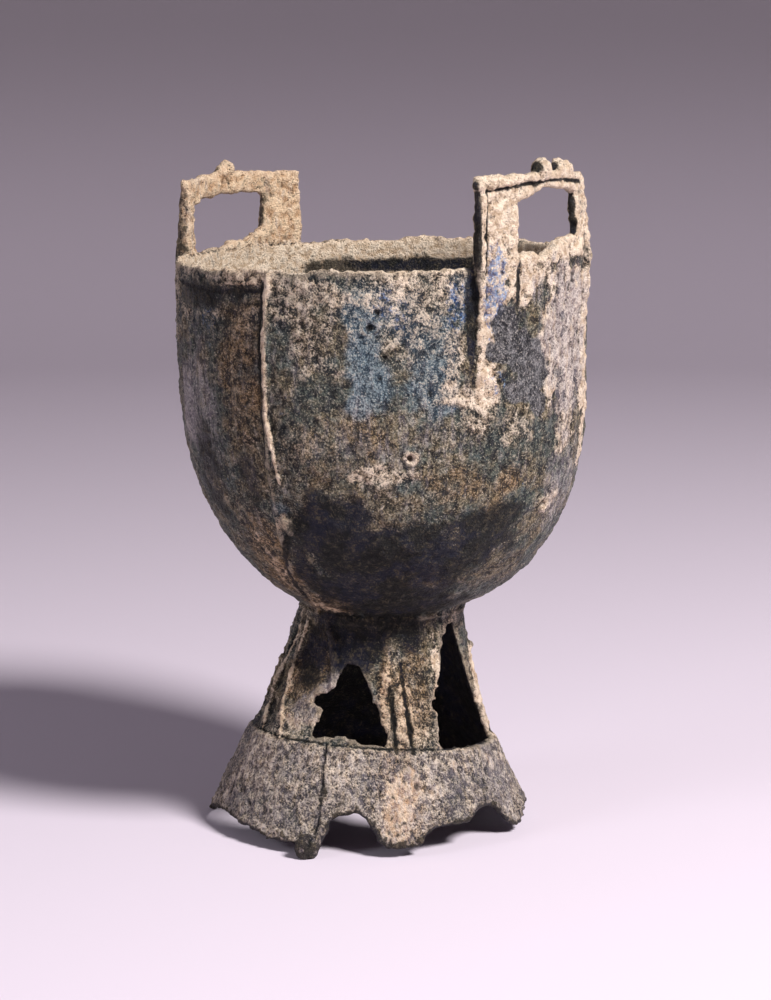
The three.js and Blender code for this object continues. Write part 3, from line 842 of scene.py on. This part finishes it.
def bronze():
    """Dusty metal, then each layer of corrosion over the last, then painted glints, painted highlights on
    edges, and painted shade in recesses and crevices.
    """
    material = bpy.data.materials.new("corroded_bronze")
    mix = Recipe(material)
    fine = mix.noise(0.8, detail=3, roughness=0.7)
    medium = mix.noise(3.0, detail=5, roughness=0.65)
    broad = mix.noise(14, detail=4, roughness=0.55)
    streaky = mix.noise(2.0, detail=5, roughness=0.7, stretch=(1, 1, 0.2))
    proud = mix.stain("proud")
    # The grain is mostly random noise, with a little of the relief's height, so its dark and light also
    # paint shade in hollows and highlight on proud grains.
    grain = mix.sum(mix.sum(mix.product(fine, 0.5), medium, 0.5), proud, 0.08)
    bright = mix.step(grain, 0.42, 0.62)

    def layer(under, share, most, colours):
        """Colours laid over what is under them, dark in the grain's hollows and light on it, as random tone
        and painted shade and highlight.
        """
        return mix.blend(mix.product(share, most), under, mix.blend(bright, *colours))

    cold = mix.step(broad, 0.42, 0.58)
    metal = mix.blend(cold, WARM_METAL, COLD_METAL)
    colour = mix.blend(bright, metal, mix.blend(cold, WARM_DUST, COLD_DUST))
    ochre = mix.covered(mix.stain("ochre"), mix.noise(5.0, detail=5, roughness=0.75), soft=0.3)
    colour = layer(colour, ochre, 0.7, OCHRES)
    teal = mix.covered(mix.stain("teal"), mix.noise(6.0, detail=6, roughness=0.75), soft=0.25)
    colour = layer(colour, teal, 0.75, TEALS)
    lit = mix.step(medium, 0.38, 0.6)
    warm = mix.product(mix.stain("ochre"), 0.85)
    cream = mix.blend(warm, mix.blend(lit, *CREAMS), mix.blend(lit, *WARM_CREAMS))
    much = mix.sum(mix.stain("tan"), mix.sum(mix.stain("tan"), -0.6), 0.4)
    tan = mix.covered(much, grain, soft=0.09)
    colour = mix.blend(mix.product(tan, 0.92), colour, cream)
    film_and_sheen = mix.covered(mix.stain("film_and_sheen"), streaky, soft=0.2)
    colour = layer(colour, film_and_sheen, 0.8, FILM_AND_SHEEN_COLOURS)
    flecks = mix.noise(2.2, detail=5, roughness=0.75)
    blue = mix.covered(mix.product(mix.stain("blue"), 0.75), flecks, soft=0.08)
    colour = layer(colour, blue, 0.8, BLUES)
    # The black layer is soot, and also painted shade where the mesh marks it.
    patchy = mix.sum(mix.stain("black"), mix.sum(medium, -0.5), 1.8)
    black = mix.step(mix.sum(patchy, mix.sum(broad, -0.5), 1.2), 0.10, 0.6)
    soot_and_shade_colour = mix.blend(mix.step(broad, 0.42, 0.56), *SOOT_AND_SHADE_COLOURS)
    soot_and_shade_colour = mix.blend(mix.step(grain, 0.52, 0.64), soot_and_shade_colour, SOOTY_GRAIN)
    colour = mix.blend(mix.product(black, 0.93), colour, soot_and_shade_colour)
    colour = layer(colour, mix.step(mix.stain("slate"), 0.25, 0.6), 0.9, SLATES)

    clear = mix.sum(1.0, black, -0.9)
    # Painted glints: pale specks on the fine noise, outside the black.
    glint = mix.step(fine, 0.56, 0.72, end=0.45)
    colour = mix.blend(mix.product(glint, clear), colour, PAINTED_GLINT)
    # Painted highlight on convex edges, outside the black.
    edge = mix.step(mix.stain("hollow"), -0.6, -0.15, start=0.3, end=0.0)
    colour = mix.blend(mix.product(edge, clear), colour, PAINTED_EDGE_HIGHLIGHT)
    # Painted shade in recesses, where the mesh lies under the surface around it.
    recess_shade = mix.step(mix.stain("hollow"), 0.12, 0.6, end=0.75)
    colour = mix.blend(recess_shade, colour, PAINTED_RECESS_SHADE)
    # Painted shade in the hollows of the fine grain.
    crevice_shade = mix.step(mix.sum(fine, proud, 0.12), 0.28, 0.45, start=0.9, end=0.0)
    colour = mix.blend(crevice_shade, colour, PAINTED_CREVICE_SHADE)
    mix.join(colour, mix.shader.inputs["Base Color"])

    dullness = mix.sum(mix.step(fine, 0.3, 0.7, start=0.36, end=0.6), tan, 0.3)
    mix.join(dullness, mix.shader.inputs["Roughness"])
    mix.shader.inputs["Specular IOR Level"].default_value = 0.25
    bump = mix.tree.nodes.new("ShaderNodeBump")
    bump.inputs["Strength"].default_value = 1.0
    bump.inputs["Distance"].default_value = BUMP_DISTANCE * MM
    mix.join(mix.sum(mix.sum(grain, mix.cells(1.5), -0.1), tan, 0.12), bump.inputs["Height"])
    mix.join(bump.outputs["Normal"], mix.shader.inputs["Normal"])
    return material


def paper():
    """Plain paper, pale on the floor and darker up the wall, as painted shade."""
    material = bpy.data.materials.new("paper")
    mix = Recipe(material)
    height = mix.tree.nodes.new("ShaderNodeSeparateXYZ")
    mix.join(mix.place, height.inputs[0])
    up = mix.step(height.outputs["Z"], 0.0, PAPER_PAINTED_SHADE_HEIGHT)
    mix.join(mix.blend(up, PAPER_PALE, PAPER_PAINTED_SHADE), mix.shader.inputs["Base Color"])
    mix.shader.inputs["Roughness"].default_value = PAPER_ROUGHNESS
    return material


# ---------------------------------------------------------------- studio


def sweep():
    """A round floor that curves up into a wall all the way round."""
    section = [(0.0, 0.0), (FLOOR_RADIUS, 0.0)]
    for turn in np.linspace(CURVE_STARTS, math.pi / 2, CURVE_STEPS):
        out = FLOOR_RADIUS + CURVE_RADIUS * math.sin(turn)
        section.append((out, CURVE_RADIUS - CURVE_RADIUS * math.cos(turn)))
    section.append((FLOOR_RADIUS + CURVE_RADIUS, WALL_TOP))
    turns = [2 * math.pi * k / PAPER_SIDES for k in range(PAPER_SIDES)]
    vertices = [(r * math.cos(turn), r * math.sin(turn), z) for r, z in section for turn in turns]
    faces = []
    for low, k in product(range(len(section) - 1), range(PAPER_SIDES)):
        this, following = low * PAPER_SIDES, (k + 1) % PAPER_SIDES
        above = this + PAPER_SIDES
        faces.append((this + k, this + following, above + following, above + k))
    mesh = bpy.data.meshes.new("floor")
    mesh.from_pydata(vertices, [], faces)
    mesh.shade_smooth()
    mesh.materials.append(paper())
    floor = bpy.data.objects.new("floor", mesh)
    bpy.context.scene.collection.objects.link(floor)


def around_axis(angle, distance, height, aside=0.0):
    """A point seen from the vessel's axis: angle and distance round it, height, and how far to its left."""
    turn = math.radians(angle)
    x = distance * math.cos(turn) - aside * math.sin(turn)
    y = distance * math.sin(turn) + aside * math.cos(turn)
    return Vector((x - BOX_MIDDLE[0], y - BOX_MIDDLE[1], height)) * MM


def point_at(thing, target):
    thing.rotation_euler = (target - thing.location).to_track_quat("-Z", "Y").to_euler()


def camera():
    data = bpy.data.cameras.new("camera")
    data.sensor_width = SENSOR
    data.lens = SENSOR * FOCAL / FRAME_HEIGHT
    data.clip_end = SEES_TO
    view = bpy.data.objects.new("camera", data)
    bpy.context.scene.collection.objects.link(view)
    view.location = around_axis(CAMERA_AT, CAMERA_DISTANCE, CAMERA_HEIGHT, AIM_ASIDE)
    point_at(view, around_axis(CAMERA_AT, 0, AIM_HEIGHT, AIM_ASIDE))
    bpy.context.scene.camera = view


def softbox(name, beside, distance, height, size, power, colour):
    data = bpy.data.lights.new(name, "AREA")
    data.shape = "DISK"
    data.size = size
    data.energy = power
    data.color = colour
    lamp = bpy.data.objects.new(name, data)
    bpy.context.scene.collection.objects.link(lamp)
    lamp.location = around_axis(CAMERA_AT + beside, distance, height)
    point_at(lamp, around_axis(0, 0, LIGHTS_AIM_HEIGHT))


def studio():
    sweep()
    softbox("key", *KEY)
    softbox("fill", *FILL)
    world = bpy.data.worlds.new("studio")
    world.use_nodes = True
    world.node_tree.nodes["Background"].inputs["Color"].default_value = SURROUND
    bpy.context.scene.world = world
    bpy.context.scene.view_settings.view_transform = "Standard"


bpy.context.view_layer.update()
bronze_casting()
studio()
camera()
